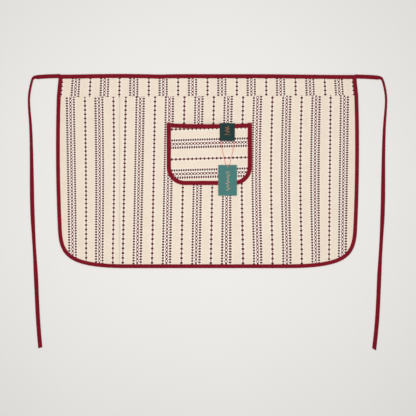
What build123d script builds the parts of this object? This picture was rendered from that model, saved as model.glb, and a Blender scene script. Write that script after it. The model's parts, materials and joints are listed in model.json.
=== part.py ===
from build123d import *
import math
import os

# Half apron laid flat: striped cotton skirt and yoke, bound edges, two ties, a bound patch pocket,
# a woven label folded over the pocket mouth, and a card swing tag on a string.
# X runs across the apron, +Y points to the waist, +Z up from the surface it lies on. Millimetres.

# ------------------------------------------------------------------ driving dimensions
HALF_WIDTH = 408.7          # widest half width, over the side bindings
HALF_LENGTH = 261.7         # half of the waist-to-hem length
WIDEST_Y = 38.0             # where the sides are widest
WAIST_HALF_WIDTH = 400.8    # half width at the waist edge
HIP = (406.6, 203.0)        # where the yoke's flare ends
KNEE = (403.7, -155.0)      # where the rounded hem corner starts
HEM_CORNER_X = 215.0        # where the straight hem starts
KNEE_LEAN = 0.048           # slope of the side where it meets the corner
KNEE_HANDLE = 74.0
HEM_HANDLE = 165.0

CLOTH = 0.7                 # striped cotton
TAPE_SIDE = 0.7             # one folded side of a binding
BINDING_WIDTH = 10.5        # edge binding
WAIST_TAPE_WIDTH = 11.7
GROOVE = 4.7                # how far the cloth reaches into a binding
PANEL_Z = TAPE_SIDE         # underside of the skirt panels
YOKE_Z = PANEL_Z + CLOTH
BINDING_TOP = YOKE_Z + CLOTH + TAPE_SIDE
THREAD_WIDTH = 0.6
THREAD_HEIGHT = 0.3
STITCH_INSET = 1.4          # seam line, from a binding's inner edge
WAIST_SEAM_END = 3.0        # the waist seam stops short of the corners
HIDDEN_SEAM_INSET = 1.5     # yoke seam thread, inside the overlap
JOIN_SEAM_INSET = 1.0       # side panel seam thread, past the join

SEAM_LEFT_Y = 199.5         # yoke seam at the left and right sides
SEAM_RIGHT_Y = 205.0
SEAM_OVERLAP = 9.0          # panels run on under the yoke
JOIN_X = -237.6             # seam between side panel and main panel

POCKET_LEFT = -110.2
POCKET_RIGHT = 119.9
POCKET_TOP = 130.4
POCKET_BOTTOM = -37.6
POCKET_CORNER = 49.0
POCKET_TAPE = 11.6          # width of both pocket bindings
MOUTH_TOP = 128.6
CROWN = 8.0                 # how far the mouth gapes at its middle
POCKET_CLOTH_Z = YOKE_Z + 1.0
POCKET_HINGE_Y = 28.0       # the front tips open about this line
SIDE_GAP = 0.35             # clearance round the pieces that move
PANEL_GAP = 0.2             # between the two halves of the pocket's front
TACK = (5.6, 1.6, 0.8)      # bar tack: along, across, high
TACK_DOWN = 3.5             # bar tack, from the pocket's top
MOUTH_SEAM_END = 2.0        # the mouth seam stops short of the sides

LABEL_LEFT = 32.5
LABEL_RIGHT = 73.7
LABEL_BOTTOM = 80.9
LABEL_HINGE_Y = 121.7
LABEL_FOLD_Y = 129.8
LABEL = 0.6                 # thickness of the woven label
LABEL_LIFT = 1.3            # room for the string under the label
LABEL_SEAM_END = 1.0

TAG_WIDTH = 50.2
TAG_LENGTH = 82.7
TAG_CARD = 0.6
TAG_TOP = (54.0, 16.5, 6.5)   # middle of the tag's upper edge, on its underside
TAG_SLOPE = 0.03            # the tag falls away from the label by this much per millimetre
TAG_HOLE = 1.6
TAG_HOLE_DOWN = 4.6         # hole centre, from the upper edge
STRING = 1.3
STRING_CLEAR = 0.35         # string over the pocket's cloth
STRING_ON_TAG = 0.3         # string over the tag's face
STRING_HIGH = 0.9           # extra height where the strands come down to the tag
STRING_LOW = 0.3            # and where they leave the label
STRAND_START = 1.5          # strands end this far above the tag

TIE_WIDTH = 11.0
TIE_THICK = 1.6
TIE_GAP = 0.4
TIE_THREAD_OFFSET = 4.2     # seam line of a tie, from its middle

# Middle line of the left and right ties as they lie, from the apron's corner to the cut end.
TIE_LEFT_STUB = [(-402.4, 256.6), (-424.0, 256.1), (-446.5, 255.0), (-464.4, 253.4)]
TIE_LEFT_TAIL = [
    (-469.5, 252.6), (-475.6, 234.0), (-481.6, 204.0), (-481.0, 172.0), (-476.5, 122.0), (-474.8, 60.0),
    (-473.9, -25.0), (-473.2, -100.0), (-469.3, -170.0), (-464.0, -258.0), (-460.4, -345.0),
    (-456.2, -423.0), (-451.2, -476.5)]
TIE_RIGHT_STUB = [(402.4, 255.4), (424.0, 254.7), (446.0, 253.6), (463.4, 252.1)]
TIE_RIGHT_TAIL = [
    (468.4, 251.2), (475.6, 234.0), (481.6, 204.0), (481.0, 172.0), (476.7, 122.0), (474.8, 60.0),
    (474.0, -25.0), (473.4, -100.0), (469.7, -170.0), (464.4, -258.0), (461.1, -345.0),
    (456.5, -423.0), (449.6, -481.0)]


# ------------------------------------------------------------------ shared shapes
def apron_outline(inset=0.0):
    """The apron's flat outline, moved inwards by inset."""
    side = HALF_WIDTH - inset
    knee = (KNEE[0] - inset, KNEE[1])
    hem_y = inset - HALF_LENGTH
    knee_handle = KNEE_HANDLE - 0.75 * inset
    hem_handle = HEM_HANDLE - 0.75 * inset
    half = [
        Line((0, HALF_LENGTH), (WAIST_HALF_WIDTH - inset, HALF_LENGTH)),
        Line((WAIST_HALF_WIDTH - inset, HALF_LENGTH), (HIP[0] - inset, HIP[1])),
        ThreePointArc((HIP[0] - inset, HIP[1]), (side, WIDEST_Y), knee),
        Bezier(
            knee,
            (knee[0] - KNEE_LEAN * knee_handle, knee[1] - knee_handle),
            (HEM_CORNER_X + hem_handle, hem_y),
            (HEM_CORNER_X, hem_y)),
        Line((HEM_CORNER_X, hem_y), (0, hem_y)),
    ]
    half_face = make_face(half + [Line((0, hem_y), (0, HALF_LENGTH))])
    return half_face + mirror(half_face, about=Plane.YZ)


def plate(face, z_low, z_high):
    """A flat face of the XY plane, standing from z_low to z_high."""
    return extrude(Pos(0, 0, z_low) * face, amount=z_high - z_low, dir=(0, 0, 1))


def rectangle(x_low, x_high, y_low, y_high):
    return Pos((x_low + x_high) / 2, (y_low + y_high) / 2) * Rectangle(x_high - x_low, y_high - y_low)


def below_line(y_left, y_right):
    """Everything under a straight line across the apron."""
    reach = HALF_WIDTH + OVERRUN
    return make_face(Polyline(
        (-reach, y_left), (reach, y_right), (reach, -2 * reach), (-reach, -2 * reach), close=True))


def pocket_outline(inset=0.0, top=POCKET_TOP):
    """The pocket's outline with its two rounded lower corners, moved inwards by inset."""
    left = POCKET_LEFT + inset
    right = POCKET_RIGHT - inset
    bottom = POCKET_BOTTOM + inset
    radius = POCKET_CORNER - inset
    box = rectangle(left, right, bottom, top)
    lower_corners = box.vertices().sort_by(Axis.Y)[:2]
    return fillet(lower_corners, radius=radius)


def crown_height(y):
    """How high the pocket's front stands at the pocket's middle line."""
    return CROWN * (y - POCKET_BOTTOM) / (MOUTH_TOP - POCKET_BOTTOM)


POCKET_X = (POCKET_LEFT + POCKET_RIGHT) / 2
FRONT_HALF = (POCKET_RIGHT - POCKET_LEFT) / 2 - POCKET_TAPE - SIDE_GAP
LAYER_START = 1.0           # the arched layer begins this far above the pocket's bottom
OVERRUN = 5.0               # cutting shapes run on past what they cut
OVER_EVERYTHING = 60.0      # higher than any piece


def crowned_layer(z_low, z_high):
    """A layer over the pocket, flat at its bottom and arched at its mouth, between two heights."""

    def section(y):
        rise = crown_height(y)
        left = POCKET_X - FRONT_HALF
        right = POCKET_X + FRONT_HALF
        arcs = [
            ThreePointArc((left, y, z), (POCKET_X, y, z + rise), (right, y, z)) for z in (z_low, z_high)]
        ends = [Line((x, y, z_low), (x, y, z_high)) for x in (left, right)]
        return make_face(arcs + ends)

    return loft([section(POCKET_BOTTOM + LAYER_START), section(LABEL_FOLD_Y + OVERRUN)], ruled=True)


def crowned_plate(face, z_low, z_high):
    """The part of a crowned layer over a flat face."""
    return crowned_layer(z_low, z_high) & plate(face, 0, OVER_EVERYTHING)


def front_height(x, y):
    """Rise of the crowned layer over a place on the pocket."""
    rise = crown_height(y)
    radius = (FRONT_HALF ** 2 + rise ** 2) / (2 * rise)
    return math.sqrt(radius ** 2 - (x - POCKET_X) ** 2) - (radius - rise)


def corner_radii(points):
    """The largest arc at each inner point of a route: 0.45 of the shorter run over tan(half turn)."""
    radii = []
    for before, here, after in zip(points, points[1:], points[2:]):
        run_in = Vector(*here) - Vector(*before)
        run_out = Vector(*after) - Vector(*here)
        half_turn = math.radians(run_in.get_angle(run_out)) / 2
        radii.append(0.45 * min(run_in.length, run_out.length) / math.tan(half_turn))
    return radii


def swept(name, points, section_of):
    """Sweep a section along a route of straight runs and tangent arcs, and print its figures."""
    radii = corner_radii(points)
    route = FilletPolyline(*points, radius=radii)
    section = section_of(Plane(route @ 0, x_dir=(0, 0, 1), z_dir=route % 0))
    solid = sweep(section, path=route)
    print(name, "length", round(route.length, 1), "radii", [round(r, 1) for r in radii],
          "volume", round(solid.volume, 1), "section x length", round(section.area * route.length, 1))
    return solid


def tape(name, points, width, z_low, z_high):
    """A flat tape along a route in the XY plane."""
    middle = (z_low + z_high) / 2
    route = [(x, y, middle) for x, y in points]
    return swept(name, route, lambda place: place * Rectangle(z_high - z_low, width))


def string(name, points):
    return swept(name, points, lambda place: place * Circle(STRING / 2))


def save(node, shape):
    """Write one node's solids."""
    solids = shape.solids()
    export_step(solids[0] if len(solids) == 1 else Compound(children=list(solids)), f"parts/{node}.step")


# ------------------------------------------------------------------ skirt, yoke and bindings
def skirt_and_yoke():
    waist_edge = HALF_LENGTH - WAIST_TAPE_WIDTH
    cloth = apron_outline(BINDING_WIDTH - GROOVE)
    reach = HALF_WIDTH + OVERRUN
    panels = cloth & below_line(SEAM_LEFT_Y + SEAM_OVERLAP, SEAM_RIGHT_Y + SEAM_OVERLAP)
    side_panel = plate(panels & rectangle(-reach, JOIN_X, -reach, reach), PANEL_Z, YOKE_Z)
    main_panel = plate(panels & rectangle(JOIN_X, reach, -reach, reach), PANEL_Z, YOKE_Z)
    under_tape = rectangle(-reach, reach, -reach, waist_edge + GROOVE)
    yoke = plate((cloth & under_tape) - below_line(SEAM_LEFT_Y, SEAM_RIGHT_Y), YOKE_Z, YOKE_Z + CLOTH)

    below_waist = rectangle(-reach, reach, -reach, waist_edge)
    ring = (apron_outline() - apron_outline(BINDING_WIDTH)) & below_waist
    edge_binding = plate(ring, 0, BINDING_TOP) - side_panel - main_panel - yoke
    waist_strip = apron_outline() & rectangle(-reach, reach, waist_edge, reach)
    waist_binding = plate(waist_strip, 0, BINDING_TOP) - yoke

    inner = BINDING_WIDTH - STITCH_INSET
    edge_line = (apron_outline(inner - THREAD_WIDTH) - apron_outline(inner)) & below_waist
    waist_line = apron_outline(WAIST_SEAM_END) & rectangle(
        -reach, reach, waist_edge + STITCH_INSET, waist_edge + STITCH_INSET + THREAD_WIDTH)
    seam_left = SEAM_LEFT_Y + HIDDEN_SEAM_INSET
    seam_right = SEAM_RIGHT_Y + HIDDEN_SEAM_INSET
    yoke_line = apron_outline(BINDING_WIDTH) & (
        below_line(seam_left + THREAD_WIDTH, seam_right + THREAD_WIDTH) - below_line(seam_left, seam_right))
    join_seam = JOIN_X + JOIN_SEAM_INSET
    join_line = apron_outline(BINDING_WIDTH) & rectangle(
        join_seam, join_seam + THREAD_WIDTH, -reach, SEAM_LEFT_Y)

    save("side_panel", side_panel)
    save("main_panel", main_panel)
    save("waist_yoke", yoke)
    save("edge_binding", edge_binding)
    save("waist_binding", waist_binding)
    save("edge_stitching", plate(edge_line, BINDING_TOP, BINDING_TOP + THREAD_HEIGHT))
    save("waist_stitching", plate(waist_line, BINDING_TOP, BINDING_TOP + THREAD_HEIGHT))
    save("yoke_stitching", plate(yoke_line, PANEL_Z - THREAD_HEIGHT, PANEL_Z))
    save("panel_join_stitching", plate(join_line, PANEL_Z - THREAD_HEIGHT, PANEL_Z))


# ------------------------------------------------------------------ ties
def ties():
    for side, stub, tail in (
            ("left", TIE_LEFT_STUB, TIE_LEFT_TAIL), ("right", TIE_RIGHT_STUB, TIE_RIGHT_TAIL)):
        outward = -1 if side == "left" else 1
        stub_solid = tape(f"tie_{side}_stub", stub, TIE_WIDTH, 0, TIE_THICK)
        turn = Pos(tail[0][0], tail[0][1], TIE_THICK / 2)
        clear = turn * Cylinder(TIE_WIDTH / 2 + TIE_GAP, 3 * TIE_THICK)
        stub_solid = stub_solid - clear
        tail_solid = tape(f"tie_{side}_tail", tail, TIE_WIDTH, 0, TIE_THICK)
        tail_solid = tail_solid + turn * Cylinder(TIE_WIDTH / 2, TIE_THICK)
        save(f"tie_{side}_stub", stub_solid)
        save(f"tie_{side}_tail", tail_solid)
        stub_seam = [(x, y - TIE_THREAD_OFFSET) for x, y in stub[:-1]]
        tail_seam = [(x - outward * TIE_THREAD_OFFSET, y) for x, y in tail[1:]]
        top = TIE_THICK + THREAD_HEIGHT
        save(f"tie_{side}_stub_stitching",
             tape(f"tie_{side}_stub_stitching", stub_seam, THREAD_WIDTH, TIE_THICK, top))
        save(f"tie_{side}_tail_stitching",
             tape(f"tie_{side}_tail_stitching", tail_seam, THREAD_WIDTH, TIE_THICK, top))


# ------------------------------------------------------------------ pocket
def pocket():
    cloth_z = POCKET_CLOTH_Z
    cloth_top = cloth_z + CLOTH
    tape_low = cloth_z - TAPE_SIDE
    tape_top = cloth_top + TAPE_SIDE
    left = POCKET_X - FRONT_HALF
    right = POCKET_X + FRONT_HALF
    inside = pocket_outline(POCKET_TAPE + SIDE_GAP)
    mouth_low = MOUTH_TOP - POCKET_TAPE
    lower_front = inside & rectangle(left, right, POCKET_BOTTOM, POCKET_HINGE_Y - PANEL_GAP / 2)
    upper_front = inside & rectangle(left, right, POCKET_HINGE_Y + PANEL_GAP / 2, mouth_low + GROOVE)
    lower = crowned_plate(lower_front, cloth_z, cloth_top)
    upper = crowned_plate(upper_front, cloth_z, cloth_top)
    mouth = crowned_plate(rectangle(left, right, mouth_low, MOUTH_TOP), tape_low, tape_top) - upper

    ring = pocket_outline() - pocket_outline(POCKET_TAPE, POCKET_TOP + OVERRUN)
    edge = plate(ring, YOKE_Z, tape_top)
    seam = POCKET_TAPE - STITCH_INSET
    line = pocket_outline(seam - THREAD_WIDTH) - pocket_outline(seam, POCKET_TOP + OVERRUN)
    stitching = plate(line, tape_top, tape_top + THREAD_HEIGHT)

    tacks = [
        Pos(x, POCKET_TOP - TACK_DOWN, tape_top + TACK[2] / 2) * Box(*TACK)
        for x in (POCKET_LEFT + POCKET_TAPE / 2, POCKET_RIGHT - POCKET_TAPE / 2)]
    mouth_seam_low = mouth_low + STITCH_INSET
    seam_ends = (
        (left + MOUTH_SEAM_END, LABEL_LEFT - LABEL_SEAM_END),
        (LABEL_RIGHT + LABEL_SEAM_END, right - MOUTH_SEAM_END))
    mouth_seam = [
        crowned_plate(rectangle(a, b, mouth_seam_low, mouth_seam_low + THREAD_WIDTH),
                      tape_top, tape_top + THREAD_HEIGHT)
        for a, b in seam_ends]

    save("pocket_panel_lower", lower)
    save("pocket_panel_upper", upper)
    save("pocket_mouth_binding", mouth)
    save("pocket_edge_binding", edge)
    save("pocket_stitching", stitching)
    save("pocket_bartacks", Compound(children=tacks))
    save("pocket_mouth_stitching", Compound(children=mouth_seam))
    return tape_low, tape_top


# ------------------------------------------------------------------ label, string and tag
def label(tape_low, tape_top):
    flap_z = tape_top + LABEL_LIFT
    width = rectangle(LABEL_LEFT, LABEL_RIGHT, LABEL_HINGE_Y, LABEL_FOLD_Y)
    mouth_room = crowned_layer(tape_low, tape_top) & plate(
        rectangle(LABEL_LEFT - OVERRUN, LABEL_RIGHT + OVERRUN, 0, MOUTH_TOP), 0, OVER_EVERYTHING)
    tab = crowned_plate(width, tape_low - LABEL, flap_z + LABEL) - mouth_room
    flap_face = rectangle(LABEL_LEFT, LABEL_RIGHT, LABEL_BOTTOM, LABEL_HINGE_Y - SIDE_GAP)
    flap = crowned_plate(flap_face, flap_z, flap_z + LABEL)
    seam_y = LABEL_HINGE_Y + STITCH_INSET
    seam = crowned_plate(
        rectangle(LABEL_LEFT + LABEL_SEAM_END, LABEL_RIGHT - LABEL_SEAM_END, seam_y, seam_y + THREAD_WIDTH),
        flap_z + LABEL, flap_z + LABEL + THREAD_HEIGHT)
    save("label_tab", tab)
    save("label_flap", flap)
    save("label_stitching", seam)
    hinge_z = flap_z + LABEL
    ends = [(x, LABEL_HINGE_Y, hinge_z + front_height(x, LABEL_HINGE_Y)) for x in (LABEL_LEFT, LABEL_RIGHT)]
    print("label hinge from", ends[0], "to", ends[1])


def swing_tag_and_string(tape_low, tape_top):
    top_x, top_y, top_z = TAG_TOP
    tilt = math.degrees(math.atan(TAG_SLOPE))
    card = Rectangle(TAG_WIDTH, TAG_LENGTH) - Pos(0, TAG_LENGTH / 2 - TAG_HOLE_DOWN) * Circle(TAG_HOLE)
    flat = extrude(card, amount=TAG_CARD)
    tag = Pos(top_x, top_y, top_z) * Rot(tilt, 0, 0) * Pos(0, -TAG_LENGTH / 2, 0) * flat
    save("swing_tag", tag)

    string_z = tape_top - TAPE_SIDE + STRING / 2 + STRING_CLEAR
    on_tag = top_z + TAG_CARD + STRING / 2 + STRING_ON_TAG
    hole_y = top_y - TAG_HOLE_DOWN
    strands_y = top_y + STRAND_START

    def over_pocket(x, y, extra=0.0):
        return (x, y, string_z + front_height(x, y) + extra)

    loop = [
        (49.2, strands_y, on_tag), over_pocket(43.5, 41.5, STRING_HIGH), over_pocket(37.6, 65.0, STRING_LOW),
        over_pocket(34.0, 84.0), over_pocket(38.5, 100.5), over_pocket(53.4, 108.0),
        over_pocket(68.6, 100.5), over_pocket(72.9, 84.0), over_pocket(70.2, 65.0, STRING_LOW),
        over_pocket(65.5, 41.5, STRING_HIGH), (59.6, strands_y, on_tag)]
    save("tag_string", string("tag_string", loop))
    print("tag string route", [tuple(round(v, 1) for v in point) for point in loop])
    on_hole = on_tag - TAG_SLOPE * TAG_HOLE_DOWN
    end = [
        (49.3, strands_y - 0.5, on_tag), (51.0, hole_y + 2.2, on_tag), (54.1, hole_y + 0.1, on_hole),
        (57.6, hole_y + 2.2, on_tag), (59.5, strands_y - 0.5, on_tag)]
    save("tag_string_loop", string("tag_string_loop", end))


def main():
    os.makedirs("parts", exist_ok=True)
    skirt_and_yoke()
    ties()
    tape_low, tape_top = pocket()
    label(tape_low, tape_top)
    swing_tag_and_string(tape_low, tape_top)


main()
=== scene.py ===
import json
import math
import bpy
import numpy as np
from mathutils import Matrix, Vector, noise

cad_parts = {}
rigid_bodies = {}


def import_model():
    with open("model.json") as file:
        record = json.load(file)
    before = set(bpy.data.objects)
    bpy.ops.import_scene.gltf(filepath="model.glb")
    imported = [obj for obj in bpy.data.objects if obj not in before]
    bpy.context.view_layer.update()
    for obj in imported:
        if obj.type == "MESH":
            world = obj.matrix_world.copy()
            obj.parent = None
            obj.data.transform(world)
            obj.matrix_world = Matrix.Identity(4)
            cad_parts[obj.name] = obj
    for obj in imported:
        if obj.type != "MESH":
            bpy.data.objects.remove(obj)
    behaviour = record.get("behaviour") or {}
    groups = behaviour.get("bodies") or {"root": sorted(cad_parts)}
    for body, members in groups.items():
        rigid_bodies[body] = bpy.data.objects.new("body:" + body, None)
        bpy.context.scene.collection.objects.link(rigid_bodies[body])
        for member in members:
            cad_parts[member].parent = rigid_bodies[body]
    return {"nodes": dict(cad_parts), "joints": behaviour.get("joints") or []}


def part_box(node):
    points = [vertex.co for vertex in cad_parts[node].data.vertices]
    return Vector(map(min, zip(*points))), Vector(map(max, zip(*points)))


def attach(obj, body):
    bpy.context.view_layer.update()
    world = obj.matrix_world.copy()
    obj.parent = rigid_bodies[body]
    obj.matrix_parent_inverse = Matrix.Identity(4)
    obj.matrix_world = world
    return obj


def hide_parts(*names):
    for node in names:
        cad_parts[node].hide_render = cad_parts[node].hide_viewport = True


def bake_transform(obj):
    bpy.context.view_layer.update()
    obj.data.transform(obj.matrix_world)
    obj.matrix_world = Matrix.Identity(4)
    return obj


# Half apron laid flat: striped cotton skirt and yoke in burgundy bindings, two ties, a bound pocket,
# a woven label over the pocket mouth and a card tag on a string.
# Cord routes are in metres, as the frame is. Everything else is worked out in millimetres and
# turned into metres where a mesh is made.

for stray in list(bpy.data.objects):
    bpy.data.objects.remove(stray)
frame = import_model()
bpy.context.view_layer.update()

MM = 0.001
UP = np.array((0.0, 0.0, 1.0))


# ------------------------------------------------------------------ sizes, in millimetres
def box_mm(node):
    low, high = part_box(node)
    return low / MM, high / MM


EDGE_LOW, EDGE_HIGH = box_mm("edge_binding")
WAIST_LOW, WAIST_HIGH = box_mm("waist_binding")
YOKE_HIGH = box_mm("waist_yoke")[1]
PANEL_TOP = box_mm("main_panel")[1].z
JOIN_X = box_mm("side_panel")[1].x
POCKET_LOW, POCKET_HIGH = box_mm("pocket_edge_binding")
MOUTH_LOW, MOUTH_HIGH = box_mm("pocket_mouth_binding")
FRONT_LOW, FRONT_HIGH = box_mm("pocket_panel_lower")
FLAP_LOW, FLAP_HIGH = box_mm("label_flap")
TAB_LOW, TAB_HIGH = box_mm("label_tab")
TAG_LOW, TAG_HIGH = box_mm("swing_tag")

HALF_WIDTH = EDGE_HIGH.x
WAIST_Y = WAIST_HIGH.y
HEM_Y = EDGE_LOW.y
WIDEST_Y = 38.0
WAIST_HALF_WIDTH = 400.8
HIP = (406.6, 203.0)
KNEE = (403.7, -155.0)
HEM_CORNER_X = 215.0
KNEE_LEAN = 0.048
KNEE_HANDLE = 74.0
HEM_HANDLE = 165.0
HANDLE_SHRINK = 0.75        # curve handles shorten by this share of an inset

CLOTH = 0.7
BINDING_WIDTH = 10.5
WAIST_TAPE_WIDTH = WAIST_HIGH.y - WAIST_LOW.y
TUCK = 5.8                  # the cloth's edge lies this far inside a binding's outer edge
SEAM_LEFT_Y = 199.5
SEAM_RIGHT_Y = 205.0
SEAM_OVERLAP = 9.0
YOKE_TOP = YOKE_HIGH.z
BINDING_TOP = EDGE_HIGH.z

POCKET_TAPE = 11.6
POCKET_CORNER = 49.0
POCKET_X = (POCKET_LOW.x + POCKET_HIGH.x) / 2
FRONT_HALF = (FRONT_HIGH.x - FRONT_LOW.x) / 2
FRONT_TOP = FRONT_LOW.z + CLOTH
TAPE_TOP = POCKET_HIGH.z
MOUTH_TOP = MOUTH_HIGH.y
CROWN = 8.0
HINGE_Y = 28.0
MOUTH_SAG = 3.4             # the mouth's middle hangs this far below its ends
PLATEAU = 70.0              # half the stretch of the mouth that opens fully

STITCH_INSET = 1.4
STITCH_PITCH = 3.0
STITCH_LENGTH = 2.3
THREAD_RADIUS = 0.28
TIE_WIDTH = 11.0
TIE_THICK = 1.6
TIE_SEAM = 1.3              # seam line of a tie, from its sewn edge
LABEL_THICK = 0.6
LABEL_REST_Z = TAPE_TOP + 1.3   # underside of the label's hanging part, before the pocket's arch
TAG_THICK = 0.6

# ------------------------------------------------------------------ cord routes, in metres
TIE_LEFT_STUB = [(-0.3975, 0.2567, 0.0008), (-0.4240, 0.2561, 0.0008), (-0.4440, 0.2551, 0.0008),
                 (-0.4642, 0.2534, 0.0008)]
TIE_LEFT_TAIL = [
    (-0.4636, 0.2535, 0.0008), (-0.4660, 0.2531, 0.0008), (-0.4712, 0.2502, 0.0008),
    (-0.4750, 0.2370, 0.0008), (-0.4816, 0.2040, 0.0008), (-0.4810, 0.1720, 0.0008),
    (-0.4765, 0.1220, 0.0008), (-0.4748, 0.0600, 0.0008), (-0.4739, -0.0250, 0.0008),
    (-0.4732, -0.1000, 0.0008), (-0.4693, -0.1700, 0.0008), (-0.4640, -0.2580, 0.0008),
    (-0.4604, -0.3450, 0.0008), (-0.4562, -0.4230, 0.0008), (-0.4512, -0.4765, 0.0008)]
TIE_RIGHT_STUB = [(0.3975, 0.2555, 0.0008), (0.4240, 0.2547, 0.0008), (0.4440, 0.2538, 0.0008),
                  (0.4642, 0.2520, 0.0008)]
TIE_RIGHT_TAIL = [
    (0.4636, 0.2521, 0.0008), (0.4660, 0.2516, 0.0008), (0.4704, 0.2490, 0.0008),
    (0.4750, 0.2370, 0.0008), (0.4816, 0.2040, 0.0008), (0.4810, 0.1720, 0.0008),
    (0.4767, 0.1220, 0.0008), (0.4748, 0.0600, 0.0008), (0.4740, -0.0250, 0.0008),
    (0.4734, -0.1000, 0.0008), (0.4697, -0.1700, 0.0008), (0.4644, -0.2580, 0.0008),
    (0.4611, -0.3450, 0.0008), (0.4565, -0.4230, 0.0008), (0.4496, -0.4810, 0.0008)]
TAG_STRING = [
    (0.0492, 0.0180, 0.0077), (0.0435, 0.0415, 0.0083), (0.0376, 0.0650, 0.0088),
    (0.0340, 0.0840, 0.0095), (0.0385, 0.1005, 0.0100), (0.0534, 0.1080, 0.0096),
    (0.0686, 0.1005, 0.0082), (0.0729, 0.0840, 0.0074), (0.0702, 0.0650, 0.0074),
    (0.0655, 0.0415, 0.0075), (0.0596, 0.0180, 0.0081)]
TAG_STRING_LOOP = [
    (0.0493, 0.0175, 0.0077), (0.0500, 0.0158, 0.0060), (0.0516, 0.0140, 0.0057),
    (0.0534, 0.0123, 0.0060), (0.0545, 0.0117, 0.0072), (0.0561, 0.0131, 0.0081),
    (0.0580, 0.0154, 0.0081), (0.0595, 0.0175, 0.0081)]

# ------------------------------------------------------------------ camera, light and floor
VIEW_X = 1.35               # the point the camera looks straight down at
VIEW_Y = -99.4
VIEW_WIDTH = 1.123          # metres of floor across the frame
CAMERA_HEIGHT = 3.0
SENSOR = 36.0


def set_camera():
    camera = bpy.data.cameras.new("camera")
    camera.sensor_width = SENSOR
    camera.lens = SENSOR * CAMERA_HEIGHT / VIEW_WIDTH
    holder = bpy.data.objects.new("camera", camera)
    holder.location = (VIEW_X * MM, VIEW_Y * MM, CAMERA_HEIGHT)
    bpy.context.scene.collection.objects.link(holder)
    bpy.context.scene.camera = holder


def area_light(name, place, size, power):
    lamp = bpy.data.lights.new(name, "AREA")
    lamp.shape = "DISK"
    lamp.size = size
    lamp.energy = power
    holder = bpy.data.objects.new(name, lamp)
    holder.location = place
    aim = Vector((0, VIEW_Y * MM, 0)) - Vector(place)
    holder.rotation_mode = "QUATERNION"
    holder.rotation_quaternion = aim.to_track_quat("-Z", "Y")
    bpy.context.scene.collection.objects.link(holder)


def set_light():
    world = bpy.data.worlds.new("studio")
    world.use_nodes = True
    sky = world.node_tree.nodes["Background"]
    sky.inputs["Color"].default_value = (1.0, 0.995, 0.985, 1)
    sky.inputs["Strength"].default_value = 0.46
    bpy.context.scene.world = world
    area_light("key_light", (-0.04, 0.0, 1.75), 0.9, 22.5)
    bpy.context.scene.view_settings.view_transform = "Standard"


set_camera()
set_light()


# ------------------------------------------------------------------ small tools
def smoothstep(low, high, x):
    t = np.clip((x - low) / (high - low), 0.0, 1.0)
    return t * t * (3 - 2 * t)


def ramp(low, high, x):
    return min(max((x - low) / (high - low), 0.0), 1.0)


def resample(points, step):
    """The same line with its points evenly spaced, about step apart."""
    points = np.asarray(points, float)
    along = distances(points)
    wanted = np.linspace(0.0, along[-1], max(2, int(round(along[-1] / step)) + 1))
    columns = [np.interp(wanted, along, points[:, k]) for k in range(points.shape[1])]
    return np.stack(columns, axis=1), wanted


def spline_points(route, step):
    """Points, in millimetres, of the smooth line that has the route's points as its control points."""
    curve = bpy.data.curves.new("route", "CURVE")
    curve.dimensions = "3D"
    curve.resolution_u = 16
    spline = curve.splines.new("NURBS")
    spline.points.add(len(route) - 1)
    for point, place in zip(spline.points, route):
        point.co = (*place, 1.0)
    spline.order_u = 3
    spline.use_endpoint_u = True
    holder = bpy.data.objects.new("route", curve)
    bpy.context.scene.collection.objects.link(holder)
    line = bpy.data.meshes.new_from_object(holder)
    points = np.array([vertex.co for vertex in line.vertices]) / MM
    bpy.data.objects.remove(holder)
    bpy.data.meshes.remove(line)
    return resample(points, step)


def new_piece(name, points, faces, material, cloth=None):
    """A smooth-shaded mesh object from points in millimetres; cloth holds each point's place in its weave."""
    mesh = bpy.data.meshes.new(name)
    mesh.from_pydata((np.asarray(points) * MM).tolist(), [], faces)
    if cloth is not None:
        layer = mesh.attributes.new("cloth", "FLOAT_VECTOR", "POINT")
        layer.data.foreach_set("vector", np.asarray(cloth, np.float32).ravel())
    mesh.shade_smooth()
    mesh.materials.append(material)
    piece = bpy.data.objects.new(name, mesh)
    bpy.context.scene.collection.objects.link(piece)
    return piece


def tube_faces(stations, ring, first=0):
    """Quads of a closed tube of rings, with both ends capped."""
    faces = []
    for i in range(stations - 1):
        for j in range(ring):
            a = first + i * ring + j
            b = first + i * ring + (j + 1) % ring
            faces.append((a, b, b + ring, a + ring))
    faces.append(tuple(first + j for j in reversed(range(ring))))
    faces.append(tuple(first + (stations - 1) * ring + j for j in range(ring)))
    return faces


def tangents(points):
    slope = np.gradient(points, axis=0)
    return slope / np.linalg.norm(slope, axis=1)[:, None]


def distances(points):
    """How far along the line each of its points lies."""
    runs = np.linalg.norm(np.diff(points, axis=0), axis=1)
    return np.concatenate([[0.0], np.cumsum(runs)])


def inward_of(line):
    """Directions to the left of a flat line, which is where the cloth lies."""
    forward = tangents(line)
    return np.stack([-forward[:, 1], forward[:, 0]], axis=1)


def section_girth(section):
    """Distances round a section, from its first corner."""
    corners = [corner[:2] for corner in section]
    return np.cumsum([0.0] + [math.dist(a, b) for a, b in zip(corners, corners[1:])])


# ------------------------------------------------------------------ shapes shared with the CAD
def arc_through(a, b, c, count):
    """Points on the arc from a through b to c."""
    (ax, ay), (bx, by), (cx, cy) = a, b, c
    twice = 2 * (ax * (by - cy) + bx * (cy - ay) + cx * (ay - by))
    a2, b2, c2 = ax * ax + ay * ay, bx * bx + by * by, cx * cx + cy * cy
    x = (a2 * (by - cy) + b2 * (cy - ay) + c2 * (ay - by)) / twice
    y = (a2 * (cx - bx) + b2 * (ax - cx) + c2 * (bx - ax)) / twice
    radius = math.hypot(ax - x, ay - y)
    turn = np.linspace(math.atan2(ay - y, ax - x), math.atan2(cy - y, cx - x), count)
    return np.stack([x + radius * np.cos(turn), y + radius * np.sin(turn)], axis=1)


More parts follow.
